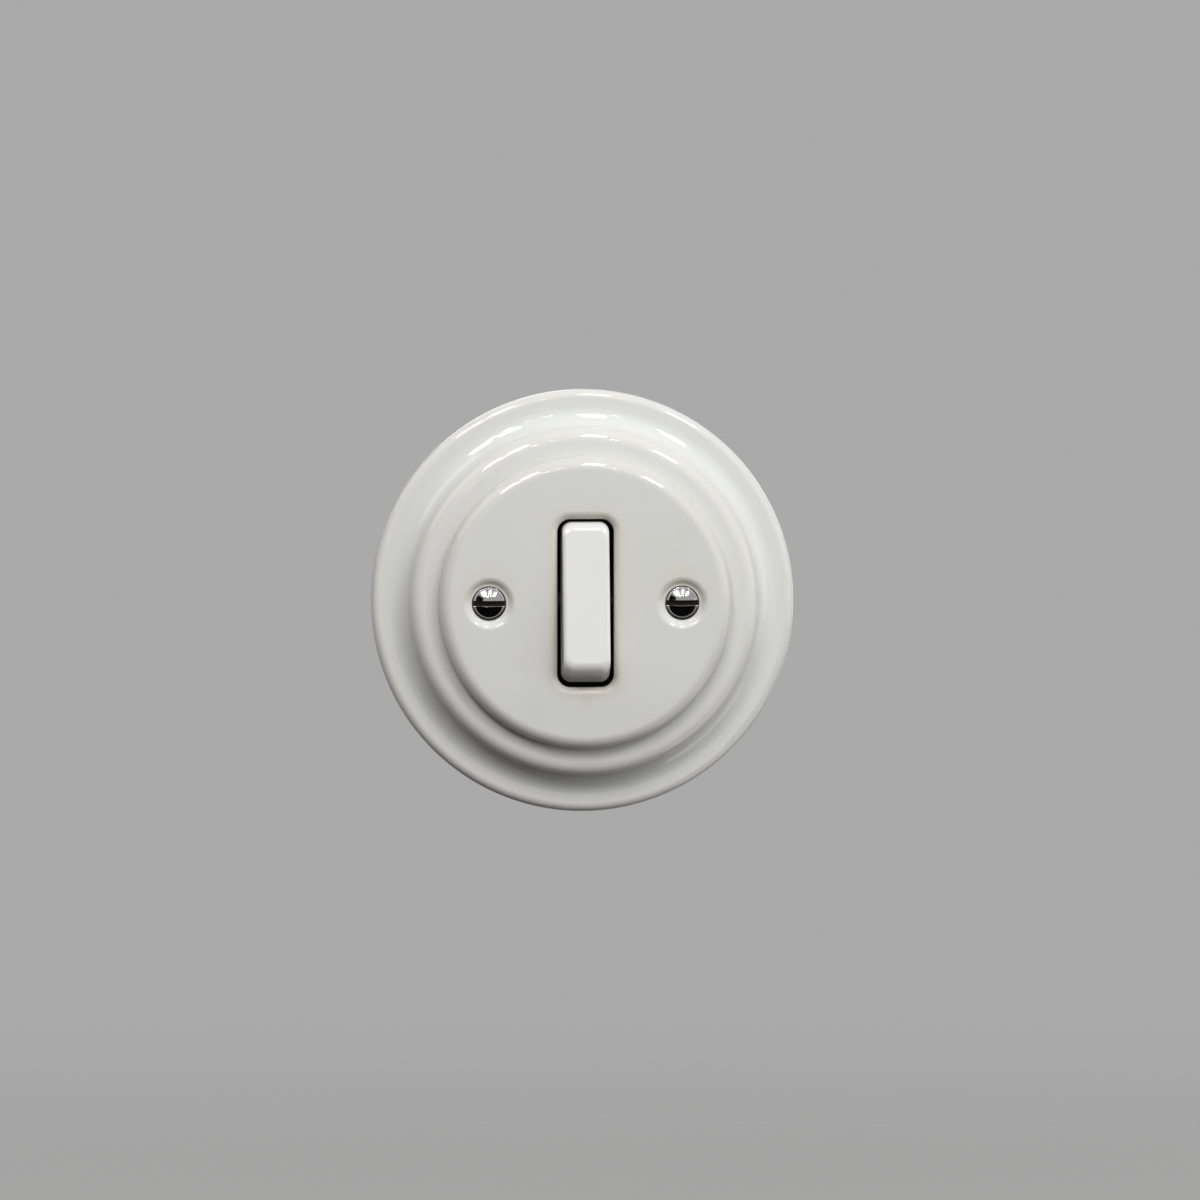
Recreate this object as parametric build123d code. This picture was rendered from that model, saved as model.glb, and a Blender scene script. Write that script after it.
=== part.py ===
from build123d import *
import math
import os

# Flush wall switch: a stepped porcelain frame and cover round a narrow white rocker button.
# The pieces are laid out on the bench: X to the right, Y up the wall, Z out of the wall.
# Z = 0 is the wall, and the origin is the centre of the two screws that hold it to the box.
# The last step turns every piece so that Z points up the wall and the front faces -Y.
# All sizes are in millimetres and degrees.

# Porcelain frame, in one piece with its raised step; its rings are set out from the cover
FLANGE_WIDTH = 8.1
TIER_WIDTH = 7.3
COVER_SEAT = 3.6
FLANGE_HEIGHT = 6.4
FLANGE_ROLL = 2.05
FOOT_INSET = 0.7
FOOT_TAPER_HEIGHT = 2.2
FOOT_WIDTH = 3.1
STEP_ANGLE = 80.0
COVE_RADIUS = 4.5
TIER_HEIGHT = 12.9
TIER_ROLL = 3.3
FRAME_WALL = 4.3

# Porcelain cover plate
COVER_RADIUS = 34.6
COVER_THICKNESS = 4.8
COVER_DOME = 0.35
COVER_ROLL = 3.1
SPIGOT_DEPTH = 1.4
SPIGOT_WIDTH = 3.0
SPIGOT_CLEARANCE = 0.5
SLOT_WIDTH = 13.2
SLOT_LENGTH = 39.5
SLOT_CORNER = 3.0
SLOT_LIP = 1.9
DISH_DEPTH = 1.0
DISH_FLOOR_RADIUS = 4.5
DISH_MOUTH_RADIUS = 5.7
EDGE_ROUND = 0.4

# Cover screws, raised countersunk heads with a slot, and the posts they turn into
SCREW_SPACING = 45.6
HEAD_RADIUS = 3.75
HEAD_RISE = 1.1
HEAD_RIM = 0.25
HEAD_GAP = 0.2
SCREW_RADIUS = 1.95
SCREW_LENGTH = 12.0
SCREW_SLOT = 1.2
SCREW_SLOT_DEPTH = 1.3
THREAD_GAP = 0.05
SCREW_HOLE_RADIUS = 2.25
POST_FLATS = 6.0
POST_GAP = 0.5
POST_SPIGOT_RADIUS = 2.2
POST_SPIGOT_HEAD = 3.0
POST_BORE_END = 3.0

# Rocker button
PIVOT_HEIGHT = 10.05
ROCKER_TILT = 9.5
BUTTON_FRONT = 10.5
BUTTON_DEPTH = 8.0
BUTTON_LENGTH = 35.2
BUTTON_WIDTH = 11.0
BUTTON_END_DRAFT = 12.0
BUTTON_SIDE_DRAFT = 2.1
BUTTON_CORNER = 2.4
BUTTON_END_ROUND = 2.2
BUTTON_SIDE_ROUND = 0.9
BUTTON_WALL = 1.7
BUTTON_ROUND_STEPS = 6

# Carrier inside the button, its cross pin and its sprung plunger
CARRIER_CLEARANCE = 0.2
CARRIER_LENGTH = 28.0
CARRIER_PLATE = 2.0
CARRIER_WEB_WIDTH = 6.4
CARRIER_WEB_LENGTH = 18.0
SNAP_RADIUS = 0.5
SNAP_LENGTH = 6.0
HUB_RADIUS = 2.3
HUB_PLAY = 0.15
PIN_RADIUS = 1.25
PIN_CLEARANCE = 0.05
STEM_RADIUS = 3.5
STEM_LENGTH = 10.5
STEM_BORE_TOP = 3.6
PLUNGER_RADIUS = 2.0
PLUNGER_PLAY = 0.1
PLUNGER_BODY = 3.5
PLUNGER_NIB_RADIUS = 1.2
PLUNGER_NIB_LENGTH = 1.5
SPRING_WIRE = 0.45
SPRING_TURNS = 5

# Contact lever, its silver contacts and the strips that carry the current
LEVER_PIVOT_HEIGHT = -4.9
LEVER_TILT = 7.0
LEVER_WIDTH = 6.0
LEVER_LENGTH = 27.0
LEVER_RAISE = 0.4
STRIP_THICKNESS = 0.8
STRIP_BEND = 0.4
EAR_RADIUS = 0.5
EAR_SPAN = 9.4
EAR_PLAY = 0.1
CONTACT_RADIUS = 1.6
CONTACT_THICKNESS = 1.0
CONTACT_OFFSET = 11.5
CONTACT_CLEARANCE = 0.05
PLUNGER_CLEARANCE = 0.05
STRIP_WIDTH = 6.0
CHEEK_SPACING = 7.6
CHEEK_WIDTH = 4.0

# Terminals at the back
TERMINAL_INSET = 6.0
TERMINAL_REACH = 3.8
CLAMP_SIZE = 7.0
CLAMP_THICKNESS = 1.2
CLAMP_LEG = 1.4
CLAMP_LEG_WIDTH = 1.0
TERMINAL_SCREW_RADIUS = 1.7
TERMINAL_SCREW_LENGTH = 6.0
TERMINAL_HEAD_RADIUS = 3.0
TERMINAL_HEAD_HEIGHT = 2.2
TERMINAL_SLOT = 0.9
TERMINAL_SLOT_DEPTH = 1.0

# Steel support plate
PLATE_RADIUS = 35.5
PLATE_THICKNESS = 1.2
BOX_SCREW_SPACING = 60.0
BOX_SLOT_LENGTH = 6.0
BOX_SLOT_WIDTH = 4.2
PLATE_WINDOW_MARGIN = 0.5

# Moulded base behind the plate
BASE_CLEARANCE = 0.3
BASE_DEPTH = 20.0
BASE_CORNER = 3.0
CHAMBER_WIDTH = 15.0
CHAMBER_LENGTH = 32.0
CHAMBER_DEPTH = 13.0
CHANNEL_CLEARANCE = 0.1
POCKET_WIDTH = 9.0
POCKET_START = 9.0
CORE_WIDTH = 12.0
CORE_LENGTH = 28.0
CORE_DEPTH = 4.0

# Moulded mechanism cover in front of the plate, with the collar that the rocker swings in
LID_WIDTH = 36.0
LID_LENGTH = 45.0
LID_THICKNESS = 2.2
COLLAR_WALL = 2.2
COLLAR_SIDE_GAP = 1.1
COLLAR_END_GAP = 0.8
COLLAR_TOP_GAP = 0.6
COLLAR_CORNER = 2.8
BOSS_DEPTH = 1.3
BOSS_LENGTH = 6.4
STEM_WINDOW_WIDTH = 9.0
STEM_WINDOW_LENGTH = 12.0
STOP_LENGTH = 4.0
STOP_CLEARANCE = 0.05

# Hollow rivets through the cover, the plate and the base
RIVET_RADIUS = 1.5
RIVET_CLEARANCE = 0.1
RIVET_HEAD_RADIUS = 2.7
RIVET_HEAD_HEIGHT = 0.8
RIVET_BORE_RADIUS = 0.9
RIVET_BORE_DEPTH = 6.0
RIVET_SPREAD = 12.0

# Sizes that follow from the ones above
FRAME_HOLE_RADIUS = COVER_RADIUS - COVER_SEAT
STEP_RADIUS = COVER_RADIUS + TIER_WIDTH
FRAME_RADIUS = STEP_RADIUS + FLANGE_WIDTH
BASE_SIZE = SCREW_SPACING - 2 * (POST_SPIGOT_HEAD + BASE_CLEARANCE)
TERMINAL_OFFSET = BASE_SIZE / 2 - TERMINAL_INSET
RIVET_PLACES = [
    (-TERMINAL_OFFSET, 0.0),
    (TERMINAL_OFFSET, RIVET_SPREAD),
    (TERMINAL_OFFSET, -RIVET_SPREAD),
]
LID_SURFACE = PLATE_THICKNESS + LID_THICKNESS
COLLAR_TOP = TIER_HEIGHT - COLLAR_TOP_GAP
COVER_FACE = TIER_HEIGHT + COVER_THICKNESS
BUTTON_SKIRT = BUTTON_FRONT - BUTTON_DEPTH
SKIRT_LENGTH = BUTTON_LENGTH + 2 * BUTTON_DEPTH * math.tan(math.radians(BUTTON_END_DRAFT))
SKIRT_WIDTH = BUTTON_WIDTH + 2 * BUTTON_DEPTH * math.tan(math.radians(BUTTON_SIDE_DRAFT))
COLLAR_INNER_WIDTH = SKIRT_WIDTH + 2 * COLLAR_SIDE_GAP
COLLAR_INNER_LENGTH = SKIRT_LENGTH + 2 * COLLAR_END_GAP
BOSS_FACE = COLLAR_INNER_WIDTH / 2 + COLLAR_WALL + BOSS_DEPTH
LEVER_TOP = LEVER_RAISE + STRIP_THICKNESS
PLUNGER_TIP = LEVER_PIVOT_HEIGHT + LEVER_TOP + PLUNGER_CLEARANCE - PIVOT_HEIGHT
PLUNGER_CENTRE = PLUNGER_TIP + PLUNGER_RADIUS
PLUNGER_TOP = PLUNGER_CENTRE + PLUNGER_BODY
STRIP_FLOOR = -CHAMBER_DEPTH
STRIP_TOP = STRIP_FLOOR + STRIP_THICKNESS
CHANNEL_END = TERMINAL_OFFSET + TERMINAL_REACH + CHANNEL_CLEARANCE
TERMINAL_PLACES = [
    (-TERMINAL_OFFSET, CONTACT_OFFSET),
    (-TERMINAL_OFFSET, -CONTACT_OFFSET),
    (TERMINAL_OFFSET, 0.0),
]


def turned(points, radii):
    """Body of revolution about Z, from a closed outline of (radius, height) points."""
    outline = FilletPolyline(*points, radius=radii, close=True)
    return revolve(Plane.XZ * make_face(outline), Axis.Z)


def slab(width, length, corner, low, high):
    """Block with rounded upright edges, between two heights."""
    return Pos(0, 0, low) * extrude(RectangleRounded(width, length, corner), high - low)


def disc(radius, low, high):
    """Round bar on Z, between two heights."""
    return Pos(0, 0, low) * extrude(Circle(radius), high - low)


def cross_bar(radius, span):
    """Round bar along X, centred on the origin."""
    return Rot(0, 90, 0) * Cylinder(radius, span)


def side_shape(points, radii, width):
    """Plate along X, of a closed outline of (Y, Z) points, centred on X = 0."""
    outline = FilletPolyline(*points, radius=radii, close=True)
    return Pos(-width / 2, 0, 0) * extrude(Plane.YZ * make_face(outline), width)


def folded_strip(points, radii, width):
    """Sheet-metal strip that runs along X, of a closed outline of (X, Z) points."""
    outline = FilletPolyline(*points, radius=radii, close=True)
    return Pos(0, width / 2, 0) * extrude(Plane.XZ * make_face(outline), width)


def copies(body, places):
    """Separate solids of one body, at several places."""
    return Compound([place * body.solid() for place in places])


def circles(shape, radius):
    """Round edges of one radius, from the lowest to the highest."""
    rings = [e for e in shape.edges().filter_by(GeomType.CIRCLE) if abs(e.radius - radius) < 0.01]
    return sorted(rings, key=lambda e: e.center().Z)


def cover_face_height(radius):
    """Height of the cover's slightly domed face at a distance from its centre."""
    return COVER_FACE - COVER_DOME * (radius / COVER_RADIUS) ** 2


def tilted(shape):
    """Puts a rocker piece on its pivot, at rest with its top end pressed in."""
    return Pos(0, 0, PIVOT_HEIGHT) * Rot(-ROCKER_TILT, 0, 0) * shape


def on_lever(shape):
    """Puts a lever piece on its pivot, at rest with its lower end pressed down."""
    return Pos(0, 0, LEVER_PIVOT_HEIGHT) * Rot(LEVER_TILT, 0, 0) * shape


def frame_ring():
    """Round frame: foot, flange, cove, step and the hole that the cover closes."""
    lean = math.tan(math.radians(90 - STEP_ANGLE))
    under_tier = TIER_HEIGHT - FRAME_WALL
    under_flange = FLANGE_HEIGHT - FRAME_WALL
    skin = FRAME_WALL / math.sin(math.radians(STEP_ANGLE))

    def step_wall(height):
        return STEP_RADIUS - (height - FLANGE_HEIGHT) * lean

    foot = FRAME_RADIUS - FOOT_INSET
    points = [
        (foot - FOOT_WIDTH, 0),
        (foot, 0),
        (FRAME_RADIUS, FOOT_TAPER_HEIGHT),
        (FRAME_RADIUS, FLANGE_HEIGHT),
        (step_wall(FLANGE_HEIGHT), FLANGE_HEIGHT),
        (step_wall(TIER_HEIGHT), TIER_HEIGHT),
        (FRAME_HOLE_RADIUS, TIER_HEIGHT),
        (FRAME_HOLE_RADIUS, under_tier),
        (step_wall(under_tier) - skin, under_tier),
        (step_wall(under_flange) - skin, under_flange),
        (foot - FOOT_WIDTH, under_flange),
    ]
    radii = [
        EDGE_ROUND, EDGE_ROUND, FOOT_TAPER_HEIGHT, FLANGE_ROLL, COVE_RADIUS, TIER_ROLL,
        2 * EDGE_ROUND, EDGE_ROUND, EDGE_ROUND, COVE_RADIUS, 2 * EDGE_ROUND,
    ]
    return turned(points, radii)


def slot_edges(shape, low):
    """Edges of the button slot that lie above a height."""
    half_width = SLOT_WIDTH / 2 + 0.01
    half_length = SLOT_LENGTH / 2 + 0.01

    def beside(edge):
        middle = edge @ 0.5
        return abs(middle.X) < half_width and abs(middle.Y) < half_length and middle.Z > low

    return [e for e in shape.edges() if beside(e)]


def screw_dish(radius):
    """Cutter for the rounded dish that a cover screw's head lies in."""
    far = DISH_MOUTH_RADIUS + 2 * SLOT_LIP
    points = [
        (0, -DISH_DEPTH),
        (DISH_FLOOR_RADIUS, -DISH_DEPTH),
        (DISH_MOUTH_RADIUS, 0),
        (far, 0),
        (far, DISH_DEPTH),
        (0, DISH_DEPTH),
    ]
    cutter = turned(points, [0, DISH_DEPTH, SLOT_LIP, 0, 0, 0])
    slope = math.degrees(math.atan(2 * COVER_DOME * radius / COVER_RADIUS ** 2))
    return Pos(radius, 0, cover_face_height(radius)) * Rot(0, slope, 0) * cutter


def head_seat_height():
    """Height at which the countersink is as wide as the gap round the screw's head."""
    return cover_face_height(SCREW_SPACING / 2) - DISH_DEPTH


def countersunk_hole():
    """Cutter for a cover screw's countersink and through hole, on Z."""
    mouth = HEAD_RADIUS + HEAD_GAP
    seat = head_seat_height()
    points = [
        (0, TIER_HEIGHT - 1),
        (SCREW_HOLE_RADIUS, TIER_HEIGHT - 1),
        (SCREW_HOLE_RADIUS, seat - mouth + SCREW_HOLE_RADIUS),
        (mouth, seat),
        (mouth, seat + DISH_DEPTH),
        (0, seat + DISH_DEPTH),
    ]
    return turned(points, [0] * len(points))


def cover_plate():
    """Domed round cover with the button slot, two screw dishes and a locating spigot."""
    spigot_out = FRAME_HOLE_RADIUS - SPIGOT_CLEARANCE
    spigot_in = spigot_out - SPIGOT_WIDTH
    spigot_end = TIER_HEIGHT - SPIGOT_DEPTH
    rim_height = cover_face_height(COVER_RADIUS)
    walls = Polyline(
        (0, COVER_FACE), (0, TIER_HEIGHT), (spigot_in, TIER_HEIGHT), (spigot_in, spigot_end),
        (spigot_out, spigot_end), (spigot_out, TIER_HEIGHT), (COVER_RADIUS, TIER_HEIGHT),
        (COVER_RADIUS, rim_height),
    )
    halfway = COVER_RADIUS / 2
    face = ThreePointArc(
        (COVER_RADIUS, rim_height), (halfway, cover_face_height(halfway)), (0, COVER_FACE)
    )
    plate = revolve(Plane.XZ * make_face(walls + face), Axis.Z)
    rim_low, rim_high = circles(plate, COVER_RADIUS)
    plate = fillet(rim_high, COVER_ROLL)
    plate = fillet(circles(plate, COVER_RADIUS)[0], EDGE_ROUND)
    plate = fillet([circles(plate, spigot_out)[0], circles(plate, spigot_in)[0]], EDGE_ROUND)
    plate -= slab(SLOT_WIDTH, SLOT_LENGTH, SLOT_CORNER, spigot_end, COVER_FACE + 1)
    plate = fillet(slot_edges(plate, COVER_FACE - 1), SLOT_LIP)
    for side in (-1, 1):
        place = side * SCREW_SPACING / 2
        plate -= screw_dish(place)
        plate -= Pos(place, 0, 0) * countersunk_hole()
    return plate


def cover_screws():
    """Two slotted screws with raised countersunk heads, on the cover's seats."""
    rim = head_seat_height() - HEAD_GAP
    crown = rim + HEAD_RIM + HEAD_RISE
    dome = (HEAD_RADIUS ** 2 + HEAD_RISE ** 2) / (2 * HEAD_RISE)
    cone_end = rim - HEAD_RADIUS + SCREW_RADIUS
    tip = rim - SCREW_LENGTH
    points = [
        (0, tip), (SCREW_RADIUS, tip), (SCREW_RADIUS, cone_end), (HEAD_RADIUS, rim),
        (HEAD_RADIUS, crown), (0, crown),
    ]
    blank = turned(points, [0, EDGE_ROUND, 0, 0, 0, 0])
    raised = Pos(0, 0, crown - dome) * Sphere(dome)
    body = blank & (raised + disc(HEAD_RADIUS, tip, rim + HEAD_RIM))
    body -= Pos(0, 0, crown) * Box(3 * HEAD_RADIUS, SCREW_SLOT, 2 * SCREW_SLOT_DEPTH)
    return copies(body, [Pos(side * SCREW_SPACING / 2, 0, 0) for side in (-1, 1)])


def cover_posts():
    """Two six-sided threaded posts, riveted to the support plate."""
    top = TIER_HEIGHT - POST_GAP
    hexagon = RegularPolygon(POST_FLATS / 2, 6, major_radius=False, rotation=30)
    post = Pos(0, 0, PLATE_THICKNESS) * extrude(hexagon, top - PLATE_THICKNESS)
    post += disc(POST_SPIGOT_RADIUS, -EDGE_ROUND, PLATE_THICKNESS)
    swage = disc(POST_SPIGOT_HEAD, -2 * EDGE_ROUND, 0)
    post += fillet(circles(swage, POST_SPIGOT_HEAD)[0], EDGE_ROUND)
    post -= disc(SCREW_RADIUS + THREAD_GAP, POST_BORE_END, top)
    return copies(post, [Pos(side * SCREW_SPACING / 2, 0, 0) for side in (-1, 1)])


def button_size(depth, round_end, round_side, wall):
    """Width and length of the button at a depth below its front, less its rounds and wall."""
    width = BUTTON_WIDTH / 2 + depth * math.tan(math.radians(BUTTON_SIDE_DRAFT))
    length = BUTTON_LENGTH / 2 + depth * math.tan(math.radians(BUTTON_END_DRAFT))

    def rolled_in(radius):
        return radius - math.sqrt(radius ** 2 - max(radius - depth, 0) ** 2)

    width -= rolled_in(round_side) + wall
    length -= rolled_in(round_end) + wall
    return 2 * width, 2 * length


def rocker_button():
    """Narrow cap with drafted walls and a rolled front, hollow behind, with four snap ribs."""
    skirt = button_size(BUTTON_DEPTH, BUTTON_END_ROUND, BUTTON_SIDE_ROUND, 0)
    sections = []
    for step in range(BUTTON_ROUND_STEPS + 1):
        angle = math.radians(90 * step / BUTTON_ROUND_STEPS)
        depth = BUTTON_END_ROUND * (1 - math.sin(angle))
        size = button_size(depth, BUTTON_END_ROUND, BUTTON_SIDE_ROUND, 0)
        sections.append(Pos(0, 0, BUTTON_FRONT - depth) * RectangleRounded(*size, BUTTON_CORNER))
    base = Pos(0, 0, BUTTON_SKIRT) * RectangleRounded(*skirt, BUTTON_CORNER)
    cap = loft([base, sections[0]], ruled=True) + loft(sections)

    inner_corner = BUTTON_CORNER - BUTTON_WALL / 2
    mouth = button_size(BUTTON_DEPTH, BUTTON_END_ROUND, BUTTON_SIDE_ROUND, BUTTON_WALL)
    ceiling = button_size(BUTTON_WALL, 0, 0, BUTTON_WALL)
    hollow = loft([
        Pos(0, 0, BUTTON_SKIRT) * RectangleRounded(*mouth, inner_corner),
        Pos(0, 0, BUTTON_FRONT - BUTTON_WALL) * RectangleRounded(*ceiling, inner_corner),
    ], ruled=True)
    cap -= hollow

    rib_height = BUTTON_FRONT - BUTTON_WALL - CARRIER_PLATE - SNAP_RADIUS
    rib_wall = button_size(BUTTON_FRONT - rib_height, 0, 0, BUTTON_WALL)[0] / 2
    rib = Rot(90, 0, 0) * Cylinder(SNAP_RADIUS, SNAP_LENGTH)
    for side in (-1, 1):
        for end in (-1, 1):
            cap += Pos(side * rib_wall, end * CARRIER_LENGTH / 3, rib_height) * rib
    return tilted(cap)


def rocker_carrier():
    """Moulded carrier clipped in the button: plate, web, hub on the pin and hollow stem."""
    ceiling = BUTTON_FRONT - BUTTON_WALL
    plate_low = ceiling - CARRIER_PLATE
    narrow = button_size(BUTTON_WALL, 0, 0, BUTTON_WALL)[0] - 2 * CARRIER_CLEARANCE
    carrier = slab(narrow, CARRIER_LENGTH, 2 * EDGE_ROUND, plate_low, ceiling)
    half = CARRIER_WEB_LENGTH / 2
    web = [(-half, plate_low), (half, plate_low), (HUB_RADIUS, 0), (-HUB_RADIUS, 0)]
    carrier += side_shape(web, [0, 0, 0, 0], CARRIER_WEB_WIDTH)
    carrier += cross_bar(HUB_RADIUS, COLLAR_INNER_WIDTH - 2 * HUB_PLAY)
    web_bounds = Box(CARRIER_WEB_WIDTH, CARRIER_LENGTH, 4 * STEM_LENGTH)
    carrier += disc(STEM_RADIUS, -STEM_LENGTH, 0) & web_bounds
    carrier -= disc(PLUNGER_RADIUS + PLUNGER_PLAY, -STEM_LENGTH, -STEM_BORE_TOP)
    carrier -= cross_bar(PIN_RADIUS, 4 * BOSS_FACE)
    return tilted(carrier)


def pivot_pin():
    """Steel cross pin, held in the carrier's hub, that turns in the collar's two bosses."""
    pin = cross_bar(PIN_RADIUS, 2 * BOSS_FACE)
    return tilted(chamfer(pin.edges(), EDGE_ROUND / 2))


def plunger():
    """Round-nosed plunger that slides in the stem and rides on the contact lever."""
    points = [(0, PLUNGER_CENTRE), (PLUNGER_RADIUS, PLUNGER_CENTRE), (PLUNGER_RADIUS, PLUNGER_TOP),
              (0, PLUNGER_TOP)]
    body = turned(points, [0, 0, EDGE_ROUND / 2, 0])
    body += Pos(0, 0, PLUNGER_CENTRE) * Sphere(PLUNGER_RADIUS)
    body += disc(PLUNGER_NIB_RADIUS, PLUNGER_TOP - EDGE_ROUND, PLUNGER_TOP + PLUNGER_NIB_LENGTH)
    return tilted(body)


def plunger_spring():
    """Coil spring between the closed end of the stem's bore and the plunger."""
    height = -STEM_BORE_TOP - PLUNGER_TOP - SPRING_WIRE
    radius = PLUNGER_RADIUS - SPRING_WIRE / 2 - PLUNGER_PLAY
    path = Helix(pitch=height / SPRING_TURNS, height=height, radius=radius)
    wire = Plane(origin=path @ 0, z_dir=path % 0) * Circle(SPRING_WIRE / 2)
    coil = sweep(wire, path=path, is_frenet=True)
    return tilted(Pos(0, 0, PLUNGER_TOP + SPRING_WIRE / 2) * coil)


def contact_lever():
    """Brass seesaw strip with a cross rib, whose ears rock in the bracket's notches."""
    strip = slab(LEVER_WIDTH, LEVER_LENGTH, STRIP_THICKNESS, LEVER_RAISE, LEVER_TOP)
    rib = Pos(0, 0, LEVER_RAISE / 2) * Box(EAR_SPAN, 2 * EAR_RADIUS, LEVER_RAISE)
    return on_lever(strip + rib + cross_bar(EAR_RADIUS, EAR_SPAN))


def contact_button(radius, thickness):
    """Silver contact with a rounded face, standing on Z = 0."""
    return fillet(circles(disc(radius, 0, thickness), radius)[1], thickness / 2)


def lever_contacts():
    """Two silver contacts under the ends of the lever."""
    button = Rot(180, 0, 0) * contact_button(CONTACT_RADIUS, CONTACT_THICKNESS)
    return on_lever(copies(button, [Pos(0, end * CONTACT_OFFSET, LEVER_RAISE) for end in (-1, 1)]))


def closed_contact_height():
    """Height of a fixed contact's face: just under the closed lever contact's lowest point."""
    angle = math.radians(LEVER_TILT)
    reach = CONTACT_OFFSET * math.sin(angle) + (CONTACT_THICKNESS - LEVER_RAISE) * math.cos(angle)
    slant = (CONTACT_RADIUS - CONTACT_THICKNESS / 2) * math.sin(angle)
    return LEVER_PIVOT_HEIGHT - reach - slant - CONTACT_CLEARANCE


def fixed_contacts():
    """Two silver contacts on the pads of the upper and lower strips."""
    button = contact_button(CONTACT_RADIUS + 2 * CONTACT_CLEARANCE, CONTACT_THICKNESS)
    low = closed_contact_height() - CONTACT_THICKNESS
    return copies(button, [Pos(0, end * CONTACT_OFFSET, low) for end in (-1, 1)])


def terminal_hole():
    """Cutter for a threaded terminal hole, on Z."""
    return disc(TERMINAL_SCREW_RADIUS + THREAD_GAP, -BASE_DEPTH, 0)


def traveller_strip(end):
    """Folded brass strip from a fixed contact to its terminal, at one end of the chamber."""
    pad_high = closed_contact_height() - CONTACT_THICKNESS
    pad_low = pad_high - STRIP_THICKNESS
    riser = -CHAMBER_WIDTH / 2 + STRIP_THICKNESS + STRIP_BEND
    tail = -TERMINAL_OFFSET - TERMINAL_REACH
    tip = LEVER_WIDTH / 2
    points = [
        (tail, STRIP_FLOOR), (riser + STRIP_THICKNESS, STRIP_FLOOR),
        (riser + STRIP_THICKNESS, pad_low), (tip, pad_low), (tip, pad_high),
        (riser, pad_high), (riser, STRIP_TOP), (tail, STRIP_TOP),
    ]
    outer = STRIP_BEND + STRIP_THICKNESS
    strip = folded_strip(points, [0, outer, STRIP_BEND, 0, 0, outer, STRIP_BEND, 0], STRIP_WIDTH)
    strip -= Pos(-TERMINAL_OFFSET, 0, 0) * terminal_hole()
    return Pos(0, end * CONTACT_OFFSET, 0) * strip


def common_strip():
    """Brass strip that carries the lever: two upright cheeks with notches, and a terminal."""
    cheek = CHEEK_SPACING / 2
    outer = cheek + STRIP_THICKNESS / 2
    end = TERMINAL_OFFSET + TERMINAL_REACH
    points = [(-outer, STRIP_FLOOR), (end, STRIP_FLOOR), (end, STRIP_TOP), (-outer, STRIP_TOP)]
    strip = folded_strip(points, [STRIP_BEND, 0, 0, 0], STRIP_WIDTH)
    cheek_height = LEVER_PIVOT_HEIGHT + LEVER_RAISE / 2 - STRIP_FLOOR
    lanced = min(cheek_height, TERMINAL_OFFSET - outer - 2 * TERMINAL_SCREW_RADIUS)
    strip -= Pos(outer + lanced / 2, 0, STRIP_FLOOR) * Box(lanced, CHEEK_WIDTH, 4 * STRIP_THICKNESS)
    strip -= Pos(TERMINAL_OFFSET, 0, 0) * terminal_hole()
    wall = Pos(0, 0, STRIP_FLOOR + cheek_height / 2) * Box(STRIP_THICKNESS, CHEEK_WIDTH, cheek_height)
    notch = Pos(0, 0, LEVER_PIVOT_HEIGHT) * (
        cross_bar(EAR_RADIUS + EAR_PLAY, 2)
        + Pos(0, 0, 1) * Box(2, 2 * (EAR_RADIUS + EAR_PLAY), 2)
    )
    for side in (-1, 1):
        strip += Pos(side * cheek, 0, 0) * (wall - notch)
    return strip


def terminal_clamps():
    """Three brass saddle plates, each on two legs that stand on its strip."""
    low = STRIP_FLOOR - CLAMP_LEG - CLAMP_THICKNESS
    half = CLAMP_SIZE / 2
    inner = half - CLAMP_LEG_WIDTH
    plate = STRIP_FLOOR - CLAMP_LEG
    points = [
        (-half, low), (half, low), (half, STRIP_FLOOR), (inner, STRIP_FLOOR),
        (inner, plate), (-inner, plate), (-inner, STRIP_FLOOR), (-half, STRIP_FLOOR),
    ]
    saddle = side_shape(points, [EDGE_ROUND] * 2 + [0] * 6, CLAMP_SIZE)
    saddle -= disc(TERMINAL_SCREW_RADIUS + 4 * THREAD_GAP, low, STRIP_FLOOR)
    return copies(saddle, [Pos(x, y, 0) for x, y in TERMINAL_PLACES])


def terminal_screws():
    """Three slotted terminal screws, heads to the back."""
    seat = STRIP_FLOOR - CLAMP_LEG - CLAMP_THICKNESS
    head = disc(TERMINAL_HEAD_RADIUS, seat - TERMINAL_HEAD_HEIGHT, seat)
    head = fillet(circles(head, TERMINAL_HEAD_RADIUS)[0], EDGE_ROUND)
    screw = head + disc(TERMINAL_SCREW_RADIUS, seat, seat + TERMINAL_SCREW_LENGTH)
    slot = Box(3 * TERMINAL_HEAD_RADIUS, TERMINAL_SLOT, 2 * TERMINAL_SLOT_DEPTH)
    screw -= Pos(0, 0, seat - TERMINAL_HEAD_HEIGHT) * slot
    return copies(screw, [Pos(x, y, 0) for x, y in TERMINAL_PLACES])


def rivet_holes(low, high):
    """Cutters for the rivets, between two heights."""
    hole = disc(RIVET_RADIUS + RIVET_CLEARANCE, low, high)
    return [Pos(x, y, 0) * hole for x, y in RIVET_PLACES]


def body_rivets():
    """Three hollow rivets that hold the cover, the plate and the base together."""
    high = LID_SURFACE + RIVET_HEAD_HEIGHT
    low = -BASE_DEPTH - RIVET_HEAD_HEIGHT
    points = [
        (0, low), (RIVET_HEAD_RADIUS, low), (RIVET_HEAD_RADIUS, -BASE_DEPTH),
        (RIVET_RADIUS, -BASE_DEPTH), (RIVET_RADIUS, LID_SURFACE),
        (RIVET_HEAD_RADIUS, LID_SURFACE), (RIVET_HEAD_RADIUS, high), (0, high),
    ]
    rivet = turned(points, [0, EDGE_ROUND, 0, 0, 0, 0, EDGE_ROUND, 0])
    rivet -= disc(RIVET_BORE_RADIUS, low, low + RIVET_BORE_DEPTH)
    return copies(rivet, [Pos(x, y, 0) for x, y in RIVET_PLACES])


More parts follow.
